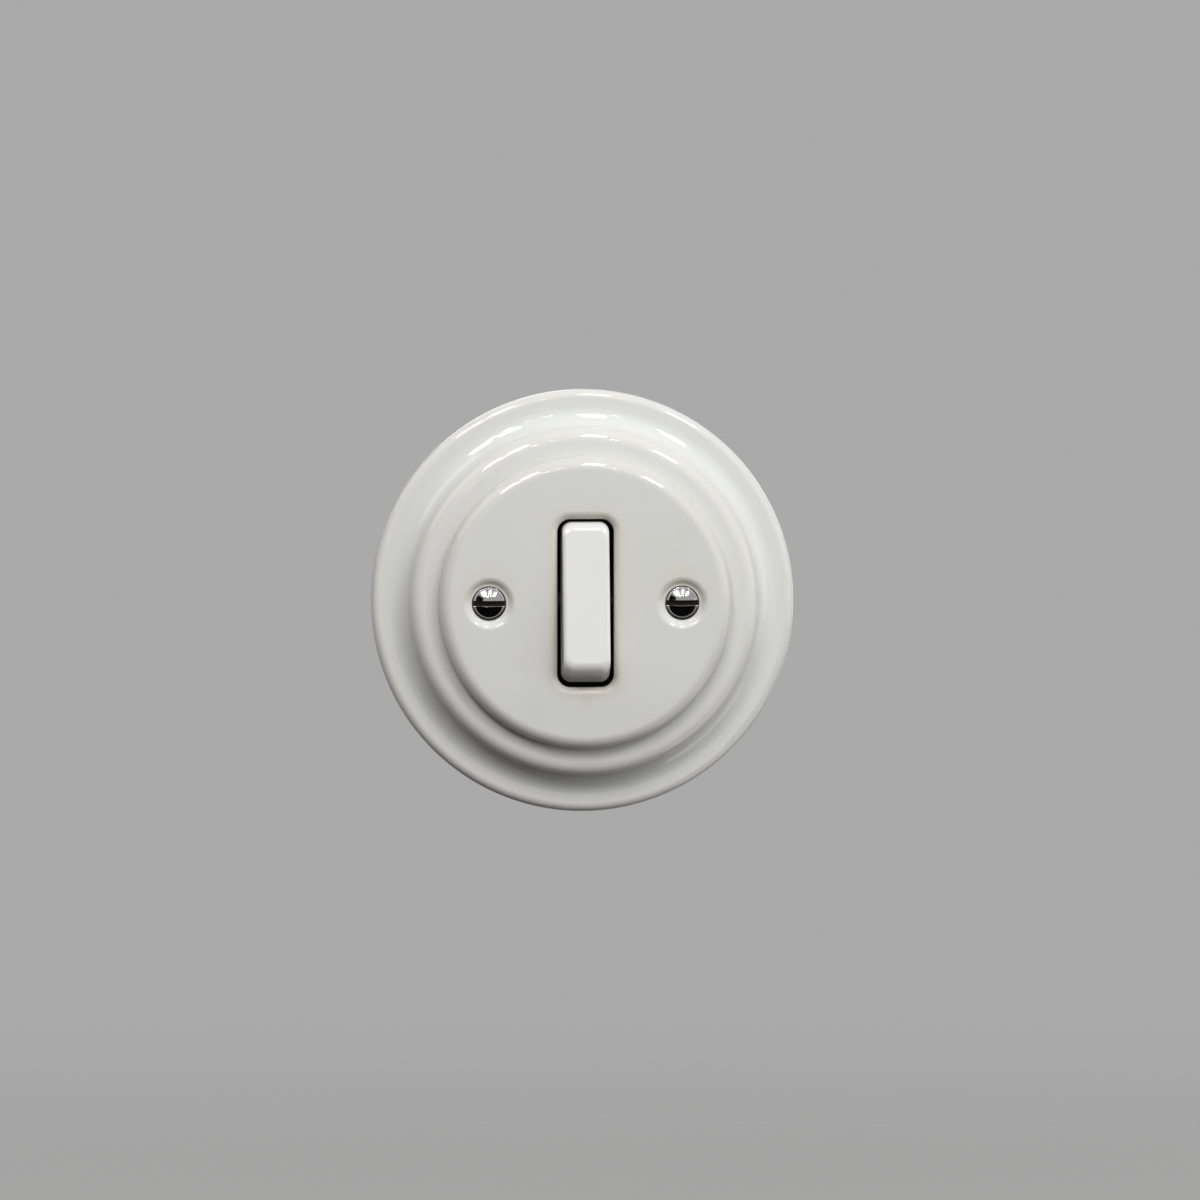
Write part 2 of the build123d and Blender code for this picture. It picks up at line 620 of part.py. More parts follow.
def support_plate():
    """Stamped steel plate with a window and a slot for a box screw at each quarter."""
    plate = disc(PLATE_RADIUS, 0, PLATE_THICKNESS)
    window_width = CHAMBER_WIDTH + 2 * PLATE_WINDOW_MARGIN
    window_length = CHAMBER_LENGTH + 2 * PLATE_WINDOW_MARGIN
    plate -= slab(window_width, window_length, BASE_CORNER, -1, PLATE_THICKNESS + 1)
    slot = Pos(0, 0, -1) * extrude(SlotOverall(BOX_SLOT_LENGTH, BOX_SLOT_WIDTH), 4)
    for quarter in range(4):
        plate -= Rot(0, 0, 90 * quarter) * Pos(BOX_SCREW_SPACING / 2, 0, 0) * slot
    for side in (-1, 1):
        plate -= Pos(side * SCREW_SPACING / 2, 0, 0) * disc(POST_SPIGOT_RADIUS, -1, 3)
    for hole in rivet_holes(-1, 3):
        plate -= hole
    return plate


def base_housing():
    """Moulded base: contact chamber, strip channels, and terminal pockets open at the back."""
    base = slab(BASE_SIZE, BASE_SIZE, BASE_CORNER, -BASE_DEPTH, 0)
    base = fillet(base.edges().group_by(Axis.Z)[0], 2 * EDGE_ROUND)
    base -= slab(CHAMBER_WIDTH, CHAMBER_LENGTH, BASE_CORNER / 2, STRIP_FLOOR, 1)
    base -= slab(CORE_WIDTH, CORE_LENGTH, BASE_CORNER / 2, -BASE_DEPTH - 1, CORE_DEPTH - BASE_DEPTH)
    channel = Pos(CHANNEL_END / 2, 0, STRIP_FLOOR / 2) * Box(
        CHANNEL_END, STRIP_WIDTH + 2 * CHANNEL_CLEARANCE, CHAMBER_DEPTH
    )
    pocket_length = BASE_SIZE - POCKET_START
    pocket_depth = BASE_DEPTH - CHAMBER_DEPTH
    pocket = Pos(POCKET_START + pocket_length / 2, 0, STRIP_FLOOR - pocket_depth / 2) * Box(
        pocket_length, POCKET_WIDTH, pocket_depth
    )
    for x, y in TERMINAL_PLACES:
        turn = Rot(0, 0, 0 if x > 0 else 180)
        base -= Pos(0, y, 0) * turn * channel
        base -= Pos(0, y, 0) * turn * pocket
    for hole in rivet_holes(-BASE_DEPTH, 0):
        base -= hole
    return base


def stop_ledge(end):
    """Ledge at one end of the collar, sloped like the pressed button's skirt."""
    slope = math.tan(math.radians(ROCKER_TILT))
    skirt = BUTTON_SKIRT / math.cos(math.radians(ROCKER_TILT))
    outer = COLLAR_INNER_LENGTH / 2 + COLLAR_WALL / 2
    inner = COLLAR_INNER_LENGTH / 2 - STOP_LENGTH

    def top(reach):
        return PIVOT_HEIGHT + skirt - reach * slope - STOP_CLEARANCE

    points = [
        (end * inner, LID_SURFACE - 1), (end * outer, LID_SURFACE - 1),
        (end * outer, top(outer)), (end * inner, top(inner)),
    ]
    return side_shape(points, [0, 0, 0, 0], COLLAR_INNER_WIDTH + COLLAR_WALL)


def mechanism_cover():
    """Moulded cover with a raised collar, pin bosses, stop ledges and the stem's window."""
    lid = slab(LID_WIDTH, LID_LENGTH, BASE_CORNER, PLATE_THICKNESS, LID_SURFACE)
    outer_width = COLLAR_INNER_WIDTH + 2 * COLLAR_WALL
    outer_length = COLLAR_INNER_LENGTH + 2 * COLLAR_WALL
    lid += slab(outer_width, outer_length, COLLAR_CORNER + COLLAR_WALL, PLATE_THICKNESS, COLLAR_TOP)
    lid += slab(2 * BOSS_FACE, BOSS_LENGTH, BOSS_DEPTH / 2, PLATE_THICKNESS, COLLAR_TOP)
    lid -= slab(COLLAR_INNER_WIDTH, COLLAR_INNER_LENGTH, COLLAR_CORNER, LID_SURFACE, COLLAR_TOP + 1)
    for end in (-1, 1):
        lid += stop_ledge(end)
    lid -= slab(STEM_WINDOW_WIDTH, STEM_WINDOW_LENGTH, 2 * EDGE_ROUND, 0, LID_SURFACE + 1)
    lid -= Pos(0, 0, PIVOT_HEIGHT) * cross_bar(PIN_RADIUS + PIN_CLEARANCE, 4 * BOSS_FACE)
    for hole in rivet_holes(0, LID_SURFACE + 1):
        lid -= hole
    return lid


def build():
    """Every piece by its name, laid out on the bench."""
    return {
        "frame_ring": frame_ring(),
        "cover_plate": cover_plate(),
        "cover_screws": cover_screws(),
        "cover_posts": cover_posts(),
        "rocker_button": rocker_button(),
        "rocker_carrier": rocker_carrier(),
        "pivot_pin": pivot_pin(),
        "plunger": plunger(),
        "plunger_spring": plunger_spring(),
        "mechanism_cover": mechanism_cover(),
        "support_plate": support_plate(),
        "base_housing": base_housing(),
        "body_rivets": body_rivets(),
        "contact_lever": contact_lever(),
        "lever_contacts": lever_contacts(),
        "common_strip": common_strip(),
        "upper_strip": traveller_strip(1),
        "lower_strip": traveller_strip(-1),
        "fixed_contacts": fixed_contacts(),
        "terminal_clamps": terminal_clamps(),
        "terminal_screws": terminal_screws(),
    }


os.makedirs("parts", exist_ok=True)
for name, piece in build().items():
    export_step(Rot(90, 0, 0) * piece, f"parts/{name}.step")
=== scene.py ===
# %% [markdown]
# # A flush switch in glazed porcelain
#
# The switch is a round frame and a round cover of white porcelain, one narrow white rocker button,
# two chromed screws, and a black moulded mechanism that sits in a flush box behind them.
#
# Its exact shapes come from the CAD model. This lesson loads them as a fixed frame and gives them
# what CAD leaves out: the camera, the light, and a finish on each piece.

# %% Load the CAD pieces
import math

import bmesh
import bpy
from mathutils import Matrix, Vector


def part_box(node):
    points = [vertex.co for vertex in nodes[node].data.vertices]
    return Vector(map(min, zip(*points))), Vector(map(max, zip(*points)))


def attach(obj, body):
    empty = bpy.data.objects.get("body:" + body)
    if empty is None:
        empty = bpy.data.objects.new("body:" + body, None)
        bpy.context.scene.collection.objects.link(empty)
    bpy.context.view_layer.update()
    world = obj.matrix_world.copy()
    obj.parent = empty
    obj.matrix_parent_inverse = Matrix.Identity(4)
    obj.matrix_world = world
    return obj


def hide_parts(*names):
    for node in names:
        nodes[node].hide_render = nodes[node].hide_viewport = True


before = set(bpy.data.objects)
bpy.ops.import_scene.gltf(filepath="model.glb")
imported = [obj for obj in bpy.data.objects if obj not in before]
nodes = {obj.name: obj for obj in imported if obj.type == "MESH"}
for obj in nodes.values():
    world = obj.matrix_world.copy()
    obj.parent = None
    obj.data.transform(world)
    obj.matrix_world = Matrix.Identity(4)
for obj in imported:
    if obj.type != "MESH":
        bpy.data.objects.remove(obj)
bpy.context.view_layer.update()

# %% [markdown]
# ## The camera
#
# The photo was taken from straight in front, a few degrees to the left and a few degrees above.
# We know it from the steps of the frame: the nearer ones sit a little to the right and lower.
#
# A wide lens close by could frame the same width, but it would swell the button towards us.
# The photo shows no such swelling, so a long lens stands well back.

# %% Camera
MM = 0.001
CAMERA_LEFT = math.radians(3.8)
CAMERA_UP = math.radians(3.4)
CAMERA_DISTANCE = 3000 * MM
PICTURE_WIDTH = 283.8 * MM
PICTURE_CENTRE = Vector((4.21, -4.0, 0.0)) * MM

towards_camera = Vector((
    -math.sin(CAMERA_LEFT) * math.cos(CAMERA_UP),
    -math.cos(CAMERA_LEFT) * math.cos(CAMERA_UP),
    math.sin(CAMERA_UP),
))
camera = bpy.data.objects.new("camera", bpy.data.cameras.new("camera"))
bpy.context.scene.collection.objects.link(camera)
bpy.context.scene.camera = camera
camera.location = PICTURE_CENTRE + towards_camera * CAMERA_DISTANCE
camera.rotation_euler = (-towards_camera).to_track_quat("-Z", "Y").to_euler()
camera.data.lens = CAMERA_DISTANCE * camera.data.sensor_width / PICTURE_WIDTH
print("lens", round(camera.data.lens), "mm")

# %% [markdown]
# ## Colours as we see them
#
# A colour picked on a screen is on a curved scale, and Blender reckons with light on a straight
# one. One helper turns the first into the second, so the numbers below are what a picture shows.

# %% Colour helper
SCREEN_STEPS = 255
TOE_END, TOE_SLOPE = 0.04045, 12.92
CURVE_SHIFT, CURVE_POWER = 0.055, 2.4


def seen(red, green, blue):
    """A colour in screen steps of 0 to 255, on the straight scale that light adds up on."""
    def straight(step):
        part = step / SCREEN_STEPS
        if part <= TOE_END:
            return part / TOE_SLOPE
        return ((part + CURVE_SHIFT) / (1 + CURVE_SHIFT)) ** CURVE_POWER
    return (straight(red), straight(green), straight(blue), 1.0)


bpy.context.scene.view_settings.view_transform = "Standard"
print("screen step 212 is", round(seen(212, 212, 212)[0], 3), "on the straight scale")

# %% [markdown]
# ## Shader sums
#
# A finish is a small web of nodes. Wiring each sum by hand takes many lines and hides what it says.
# Here a wrapped socket takes part in ordinary Python sums, and each operator adds its own node.

# %% A socket that can be added, multiplied and compared
class Wire:
    """An output of a node, to be used in sums."""

    def __init__(self, finish, socket):
        self.finish = finish
        self.socket = socket

    def _sum(self, operation, *parts):
        return self.finish.node("ShaderNodeMath", {"operation": operation}, dict(enumerate(parts)))

    def __add__(self, other):
        return self._sum("ADD", self, other)

    def __radd__(self, other):
        return self._sum("ADD", other, self)

    def __sub__(self, other):
        return self._sum("SUBTRACT", self, other)

    def __rsub__(self, other):
        return self._sum("SUBTRACT", other, self)

    def __mul__(self, other):
        return self._sum("MULTIPLY", self, other)

    def __rmul__(self, other):
        return self._sum("MULTIPLY", other, self)

    def __pow__(self, other):
        return self._sum("POWER", self, other)

    def __abs__(self):
        return self._sum("ABSOLUTE", self)

    def above(self, floor):
        return self._sum("MAXIMUM", self, floor)

    def below(self, ceiling):
        return self._sum("MINIMUM", self, ceiling)

    def step(self, low, high):
        """0 at low, 1 at high, and a soft rise between. Low may be the larger one."""
        return self.finish.node("ShaderNodeMapRange", {"interpolation_type": "SMOOTHSTEP"},
                                {"Value": self, "From Min": low, "From Max": high})


# %% [markdown]
# ## One finish, one material
#
# A finish owns a material. It knows the place on the piece in millimetres, taken from the piece
# itself, so that a speck stays where it is when the button tips.

# %% A material that nodes are added to
MIX_AMOUNT, MIX_FIRST, MIX_SECOND, MIX_RESULT = 0, 6, 7, 2


class Finish:
    """A material, its surface shader, and the helpers that feed it."""

    def __init__(self, name, **constants):
        self.material = bpy.data.materials.new(name)
        self.material.use_nodes = True
        self.tree = self.material.node_tree
        self.shader = self.tree.nodes["Principled BSDF"]
        for socket, value in constants.items():
            self.shader.inputs[socket.replace("_", " ")].default_value = value
        metres = self.node("ShaderNodeTexCoord", output="Object")
        self.place = self.node("ShaderNodeVectorMath", {"operation": "SCALE"},
                               {0: metres, "Scale": 1 / MM})
        self.x = self.part("X")
        self.y = self.part("Y")
        self.z = self.part("Z")

    def node(self, kind, settings=None, inputs=None, output=0):
        made = self.tree.nodes.new(kind)
        for name, value in (settings or {}).items():
            if name == "stops":
                self._stops(made.color_ramp, value)
            else:
                setattr(made, name, value)
        for name, value in (inputs or {}).items():
            self._feed(made.inputs[name], value)
        return Wire(self, made.outputs[output])

    def _stops(self, ramp, stops):
        while len(ramp.elements) < len(stops):
            ramp.elements.new(0.5)
        for element, (place, colour) in zip(ramp.elements, stops):
            element.position = place
            element.color = colour

    def _feed(self, socket, value):
        if isinstance(value, Wire):
            self.tree.links.new(value.socket, socket)
        else:
            socket.default_value = value

    def part(self, axis):
        return self.node("ShaderNodeSeparateXYZ", None, {0: self.place}, axis)

    def surface(self, **sockets):
        for name, value in sockets.items():
            self._feed(self.shader.inputs[name.replace("_", " ")], value)

    def blend(self, amount, first, second):
        """The first colour where amount is 0, the second where it is 1."""
        return self.node("ShaderNodeMix", {"data_type": "RGBA"},
                         {MIX_AMOUNT: amount, MIX_FIRST: first, MIX_SECOND: second},
                         MIX_RESULT)

    def cloud(self, size, detail=2.0, stretch=(1, 1, 1), roughness=0.5):
        """Soft patches about size millimetres across, from 0 to 1."""
        place = self.node("ShaderNodeVectorMath", {"operation": "MULTIPLY"},
                          {0: self.place, 1: stretch})
        return self.node("ShaderNodeTexNoise", {"noise_dimensions": "3D"},
                         {"Vector": place, "Scale": 1 / size, "Detail": detail,
                          "Roughness": roughness})

    def specks(self, spacing, radius, share):
        """Small round marks, spacing apart at most, on the given share of the places for them."""
        cells = {"feature": "F1", "distance": "EUCLIDEAN"}
        sockets = {"Vector": self.place, "Scale": 1 / spacing}
        distance = self.node("ShaderNodeTexVoronoi", cells, sockets, "Distance")
        lot = self.node("ShaderNodeTexVoronoi", cells, sockets, "Color")
        lot = self.node("ShaderNodeSeparateColor", None, {0: lot}, "Red")
        chosen = lot.step(share, share * 0.98)
        return (distance * spacing).step(radius, radius * 0.55) * chosen

    def bump(self, height, strength=1.0):
        """Height in millimetres, felt by the light as if it were modelled."""
        self.surface(Normal=self.node("ShaderNodeBump", None,
                                      {"Height": height, "Strength": strength, "Distance": MM}))


def dress(finish, *names):
    for name in names:
        for slot in nodes[name].material_slots:
            slot.material = finish.material
    print(finish.material.name, "on", ", ".join(names))


# %% [markdown]
# ## Glazed porcelain
#
# Porcelain is a white fired body under a clear coat of glass. Four things keep it from looking
# like plastic. The glaze pools in the cove, where it is faintly blue, and thins on the edges,
# where the body's warm white shows. It is never quite flat, so a lamp's reflection ripples.
# It carries a few iron specks and pin holes. And the foot that it stands on has no glaze.
#
# The frame and the cover share this finish. They were fired apart, so the cover is a shade darker,
# and each then adds its own marks.

# %% Porcelain body and glaze
FRAME_CLAY = (seen(214, 214, 211), seen(209, 209, 204))
COVER_CLAY = (seen(209, 209, 206), seen(204, 204, 198))
CLAY_WARM = seen(207, 199, 184)
GLAZE_POOL = seen(214, 219, 221)
BARE_CLAY = seen(213, 207, 196)
IRON = seen(112, 92, 70)
# Near black, painted as shade at the slot's wall and round the screw seats.
SLOT_PAINTED_SHADE = seen(30, 28, 26)
RIPPLE_BROAD, RIPPLE_FINE = 0.012, 0.0007
PIT_DEPTH, GRIT_HEIGHT = 0.012, 0.05
GLAZE_ROUGHNESS, BARE_ROUGHNESS = 0.03, 0.62
MARK_STRENGTH, RIM_WARMTH = 0.55, 0.1


def porcelain(name, clay):
    finish = Finish(name, IOR=1.5)
    finish.radius = (finish.x * finish.x + finish.z * finish.z) ** 0.5
    drift = finish.cloud(26, detail=3)
    finish.colour = finish.blend(drift.step(0.35, 0.75) * 0.35, *clay)
    finish.marks = finish.specks(7, 0.16, 0.035)
    finish.pits = finish.specks(4.3, 0.13, 0.05)
    finish.ripple = (finish.cloud(9, detail=1) * RIPPLE_BROAD
                     + finish.cloud(1.7, detail=1) * RIPPLE_FINE)
    return finish


def finish_glaze(finish, bare):
    colour = finish.blend(finish.marks * MARK_STRENGTH, finish.colour, IRON)
    colour = finish.blend(bare, colour, BARE_CLAY)
    grit = finish.cloud(0.35, detail=3)
    finish.surface(Base_Color=colour,
                   Roughness=GLAZE_ROUGHNESS + bare * (BARE_ROUGHNESS + grit * 0.15))
    glazed = finish.ripple - finish.pits * PIT_DEPTH
    finish.bump(glazed * (1 - bare) + bare * grit * GRIT_HEIGHT)


# %% [markdown]
# ### The frame ring
#
# Its cove is the ring between 41.9 and 46.4 mm from the centre, and its two rolled edges lie at
# 50 and 41.9 mm. The glaze is wiped off the foot before firing.

# %% Frame ring
COVE_STARTS, COVE_ENDS = (41.5, 43.5), (47.5, 44.5)
OUTER_RIM, STEP_RIM_OUT, STEP_RIM_IN = (48.2, 49.8), (41.9, 40.6), (38.2, 39.6)
FOOT_STARTS = (-1.15, -0.75)
POOL_STRENGTH = 0.3

ring = porcelain("porcelain_frame", FRAME_CLAY)
pool = ring.radius.step(*COVE_STARTS) * ring.radius.step(*COVE_ENDS)
step_rim = ring.radius.step(*STEP_RIM_OUT) * ring.radius.step(*STEP_RIM_IN)
thinned = (ring.radius.step(*OUTER_RIM) + step_rim).below(1.0)
ring.colour = ring.blend(pool * POOL_STRENGTH, ring.colour, GLAZE_POOL)
ring.colour = ring.blend(thinned * RIM_WARMTH, ring.colour, CLAY_WARM)
finish_glaze(ring, bare=ring.y.step(*FOOT_STARTS))
dress(ring, "frame_ring")

# %% [markdown]
# ### The cover
#
# Round the slot, and above each screw in its dish, a warm darker halo is painted shade of the dip
# there, and a small warm run below the slot is where the glaze ran. At the very edge of the slot
# and of the screw seats a fine dark line is painted shade, where the gap falls dark.
#
# The distance to the slot's edge comes from the rule for a rectangle with round corners: the
# distance to the line inside it, less the corner's radius.

# %% Cover plate
SLOT_HALF_WIDTH, SLOT_HALF_LENGTH, SLOT_CORNER = 6.6, 19.75, 3.0
SCREW_PLACE = 22.8
SLOT_SHADE_HALO = (4.2, 1.4)
SCREW_SHADE_HALO, SCREW_SHADE_LIFT, SCREW_SHADE_STARTS = (8.0, 4.6), 2.0, (-3.5, 1.0)
RUN_SIDE, RUN_TOP = (4.6, 2.8), (0.6, 1.4)
SLOT_EDGE_SHADE, SEAT_EDGE_SHADE = (0.2, -0.02), (4.16, 4.02)
COVER_RIM = (31.2, 34.0)
SPIGOT_STARTS = (-11.6, -11.1)
HALO_SHADE_AND_RUN_STRENGTH, EDGE_SHADE_STRENGTH = 0.52, 0.93

cover = porcelain("porcelain_cover", COVER_CLAY)
across = (abs(cover.x) - (SLOT_HALF_WIDTH - SLOT_CORNER)).above(0.0)
along = (abs(cover.z) - (SLOT_HALF_LENGTH - SLOT_CORNER)).above(0.0)
from_slot = (across * across + along * along) ** 0.5 - SLOT_CORNER
# The warm darker halo round the slot is painted shade of the dip at its lip.
slot_shade_halo = from_slot.step(*SLOT_SHADE_HALO) * (0.35 + cover.cloud(6, detail=3) * 0.9)
aside = abs(cover.x) - SCREW_PLACE
lifted = cover.z - SCREW_SHADE_LIFT
from_screw = (aside * aside + lifted * lifted) ** 0.5
# The halo above each screw is painted shade, on the upper side of the dish, which faces down.
screw_shade_halo = from_screw.step(*SCREW_SHADE_HALO) * cover.z.step(*SCREW_SHADE_STARTS) * 0.7
below = -SLOT_HALF_LENGTH - cover.z
run = (below * 0.75 + abs(cover.x)).step(*RUN_SIDE) * below.step(*RUN_TOP)
# The two halos are painted shade; the small run below the slot is glaze that ran.
halo_shade_and_run = (slot_shade_halo + screw_shade_halo + run * 0.7).below(1.0)
cover.colour = cover.blend(halo_shade_and_run * HALO_SHADE_AND_RUN_STRENGTH, cover.colour, CLAY_WARM)
rim = cover.radius.step(*COVER_RIM)
cover.colour = cover.blend(rim * RIM_WARMTH, cover.colour, CLAY_WARM)
from_head = (aside * aside + cover.z * cover.z) ** 0.5
# A fine dark line at the slot's wall and round each screw seat is painted shade of the gap.
edge_shade = (from_slot.step(*SLOT_EDGE_SHADE) + from_head.step(*SEAT_EDGE_SHADE)).below(1.0)
cover.colour = cover.blend(edge_shade * EDGE_SHADE_STRENGTH, cover.colour, SLOT_PAINTED_SHADE)
finish_glaze(cover, bare=cover.y.step(*SPIGOT_STARTS))
dress(cover, "cover_plate")

# %% [markdown]
# ## The button
#
# The button is pressed from a hard white moulding powder, whiter than the porcelain and as glossy.
# Fingers have polished its face, and its gloss is broken only by hair-fine scratches.

# %% Button
BUTTON_WHITE, BUTTON_SHADE = seen(219, 219, 218), seen(215, 215, 212)
BUTTON_ROUGHNESS, WORN_ROUGHNESS = 0.05, 0.12
MOULD_WAVE, SCRATCH_DEPTH = 0.008, 0.0008

button = Finish("moulded_white", IOR=1.5)
scratch = button.cloud(0.5, detail=2, stretch=(3.0, 3.0, 0.25))
worn = scratch.step(0.62, 0.8) * button.cloud(9).step(0.45, 0.7)
flow = button.cloud(14, detail=2, stretch=(1, 1, 0.4))
button.surface(
    Base_Color=button.blend(flow.step(0.3, 0.8) * 0.4, BUTTON_WHITE, BUTTON_SHADE),
    Roughness=BUTTON_ROUGHNESS + worn * WORN_ROUGHNESS,
)
button.bump(button.cloud(7, detail=1) * MOULD_WAVE - worn * SCRATCH_DEPTH)
dress(button, "rocker_button")

# %% [markdown]
# ## Grey and black mouldings
#
# The plunger and the base are never seen once the switch is up, and hardly anything of the carrier
# is. So they are moulded plainly: satin, with the fine grain of the steel mould and a little dust
# from the filler.
#
# The carrier's hub shows in the gap on each side of the button, at mid-height. Its near black is
# painted shade, which keeps the gap dark there. The distance to the pin marks the hub.

# %% Satin mouldings
GRAIN_HEIGHT, FLOW_HEIGHT = 0.006, 0.01


def moulding(name, colour, speck_colour, gloss):
    finish = Finish(name, IOR=1.5)
    grain = finish.cloud(0.28, detail=3)
    flow = finish.cloud(8, detail=3, stretch=(1, 0.5, 1))
    dusty = finish.specks(0.9, 0.09, 0.25)
    tone = finish.blend(flow.step(0.35, 0.75) * 0.5, colour, speck_colour)
    finish.tone = finish.blend(dusty * 0.5, tone, speck_colour)
    finish.surface(Base_Color=finish.tone, Roughness=gloss + flow * 0.16 + grain * 0.08)
    finish.bump(grain * GRAIN_HEIGHT + flow * FLOW_HEIGHT)
    return finish


PIN_Y = -10.05
HUB_EDGE = (3.1, 2.6)
HUB_PAINTED_SHADE = seen(12, 11, 11)

grey = moulding("moulded_grey", seen(146, 147, 146), seen(160, 161, 160), 0.33)
behind_pin = grey.y - PIN_Y
from_pin = (grey.z * grey.z + behind_pin * behind_pin) ** 0.5
# The hub's near black is painted shade, to keep the gap dark.
hub_shade = from_pin.step(*HUB_EDGE) * (0.85 + grey.cloud(1.5) * 0.15)
grey.surface(Base_Color=grey.blend(hub_shade, grey.tone, HUB_PAINTED_SHADE))
dress(grey, "rocker_carrier", "plunger")
dress(moulding("moulded_black", seen(27, 26, 26), seen(46, 44, 43), 0.26), "base_housing")
dress(moulding("moulded_black_matt", seen(16, 15, 15), seen(30, 29, 28), 0.6), "mechanism_cover")

# %% [markdown]
# ## Metals
#
# Zinc plate on stamped steel keeps the sheet's rolling lines and clouds a little. Brass strip is
# yellow where it was cut and browner where it has lain, and the silver contacts tarnish in patches.
#
# One helper makes these and the steels, because they differ only in colour, gloss, and how far they
# dull. Chrome plate on the polished screw heads is nearly a mirror, and gets its own nodes: the
# sawn slot is dark and rough, and the land round the head is duller than the dome, and painted
# paler as a sheen.

# %% Metal helper
ROLLED_HEIGHT, POLISH_WAVE = 0.006, 0.0008


def metal(name, colour, dull_colour, gloss, dullness, lines=0.0, direction=(1, 1, 0.04)):
    finish = Finish(name, Metallic=1.0)
    patch = finish.cloud(5, detail=4).step(0.42, 0.72)
    rolled = finish.cloud(0.22, detail=2, stretch=direction)
    finish.surface(
        Base_Color=finish.blend(patch * dullness, colour, dull_colour),
        Roughness=gloss + patch * dullness * 0.22 + rolled * lines * 0.12,
    )
    finish.bump(rolled * lines * ROLLED_HEIGHT + finish.cloud(2.2, detail=1) * POLISH_WAVE)
    return finish


# %% Chrome
SLOT_SIDE, LAND_STARTS = (0.612, 0.585), (3.34, 3.4)
CHROME_ROUGHNESS, LAND_DULLER, SAWN_DULLER = 0.1, 0.12, 0.26
CHROME_DOME, CHROME_LAND_SHEEN, SAWN_STEEL = seen(226, 226, 225), seen(250, 250, 250), seen(58, 52, 47)

chrome = Finish("chrome_plate", Metallic=1.0)
sawn_slot = abs(chrome.z).step(*SLOT_SIDE)
beside_axis = abs(chrome.x) - SCREW_PLACE
from_axis = (beside_axis * beside_axis + chrome.z * chrome.z) ** 0.5
land = from_axis.step(*LAND_STARTS) * (1 - sawn_slot)
# The land's paler colour is a painted sheen; its higher roughness is the turned finish.
plate = chrome.blend(land, CHROME_DOME, CHROME_LAND_SHEEN)
chrome.surface(
    Base_Color=chrome.blend(sawn_slot, plate, SAWN_STEEL),
    Roughness=(CHROME_ROUGHNESS + land * LAND_DULLER
               + sawn_slot * (SAWN_DULLER + chrome.cloud(0.4, detail=3) * 0.3)),
)
chrome.bump(chrome.cloud(2.2, detail=1) * POLISH_WAVE)
dress(chrome, "cover_screws")

# %% The other metals
dress(metal("zinc_plate", seen(204, 206, 209), seen(168, 171, 178), 0.26, 0.6, lines=1.0),
      "support_plate", "cover_posts")
# The pivot pin is blued steel, made this dark also as painted shade, so that it shows no bright
# patch in the gap.
dress(metal("blued_steel_and_shade", seen(62, 62, 66), seen(44, 43, 46), 0.3, 0.5, direction=(0.1, 1, 1)),
      "pivot_pin")
dress(metal("spring_wire", seen(186, 187, 188), seen(140, 140, 142), 0.24, 0.4),
      "plunger_spring")
dress(metal("rolled_brass", seen(222, 190, 118), seen(176, 138, 84), 0.22, 0.6, lines=1.0),
      "contact_lever", "common_strip", "upper_strip", "lower_strip",
      "terminal_clamps", "terminal_screws", "body_rivets")
dress(metal("contact_silver", seen(228, 227, 221), seen(170, 160, 142), 0.2, 0.5),
      "lever_contacts", "fixed_contacts")

# %% [markdown]
# ## The cover screws
#
# These two are the jewels of the switch, and the CAD keeps them plain: a domed head and a smooth
# shank. The real head is turned. A narrow land runs round it, a fine groove parts the land from
# the dome, and the slot's edges are broken, so that each draws a thin line of light. The shank
# carries an M4 thread.
#
# A turned part is a profile swept round an axis, so rings of points make it. The slot is then cut
# with a boolean, as the slitting saw does, and only the edges that the saw leaves are bevelled.

# %% Turning
def turned(rows, sides, wave=None):
    """A closed bmesh from rows of radius and depth behind the crown, in millimetres."""
    made = bmesh.new()
    rings = []
    for radius, depth in rows:
        ring = []
        for side in range(sides):
            turn = math.tau * side / sides
            reach = radius - (wave(depth, side / sides) if wave else 0.0)
            place = Vector((reach * math.cos(turn), depth, reach * math.sin(turn))) * MM
            ring.append(made.verts.new(place))
        rings.append(ring)
    for first, second in zip(rings, rings[1:]):
        for side in range(sides):
            after = (side + 1) % sides
            made.faces.new((first[side], first[after], second[after], second[side]))
    for ring in (rings[0], rings[-1]):
        middle = made.verts.new((0.0, ring[0].co.y, 0.0))
        for side in range(sides):
            made.faces.new((ring[side], ring[(side + 1) % sides], middle))
    bmesh.ops.recalc_face_normals(made, faces=made.faces)
    return made


def kept(made, name):
    """The bmesh as an object, and the bmesh freed."""
    mesh = bpy.data.meshes.new(name)
    made.to_mesh(mesh)
    made.free()
    holder = bpy.data.objects.new(name, mesh)
    bpy.context.scene.collection.objects.link(holder)
    return holder


# %% [markdown]
# The head stays inside the CAD's dome: the same crown and rim, with the land a little lower.

# %% Screw head
HEAD_RADIUS, HEAD_RISE, HEAD_RIM = 3.75, 1.1, 0.25
SHANK_RADIUS = 1.95
GROOVE_RADIUS, GROOVE_DROP = 3.26, 0.96
DOME_ROWS, HEAD_SIDES = 14, 128
SLOT_WIDE, SLOT_DEEP = 1.2, 1.3
SAW_LONG, SAW_TALL = 12, 4
TAIL_INSET, TAIL_LENGTH = 0.5, 0.4

dome_radius = (GROOVE_RADIUS ** 2 + GROOVE_DROP ** 2) / (2 * GROOVE_DROP)
head_rows = []
for row in range(1, DOME_ROWS + 1):
    radius = GROOVE_RADIUS * row / DOME_ROWS
    head_rows.append((radius, dome_radius - math.sqrt(dome_radius ** 2 - radius ** 2)))
rim_depth = HEAD_RISE + HEAD_RIM
seat_end = rim_depth + HEAD_RADIUS - SHANK_RADIUS
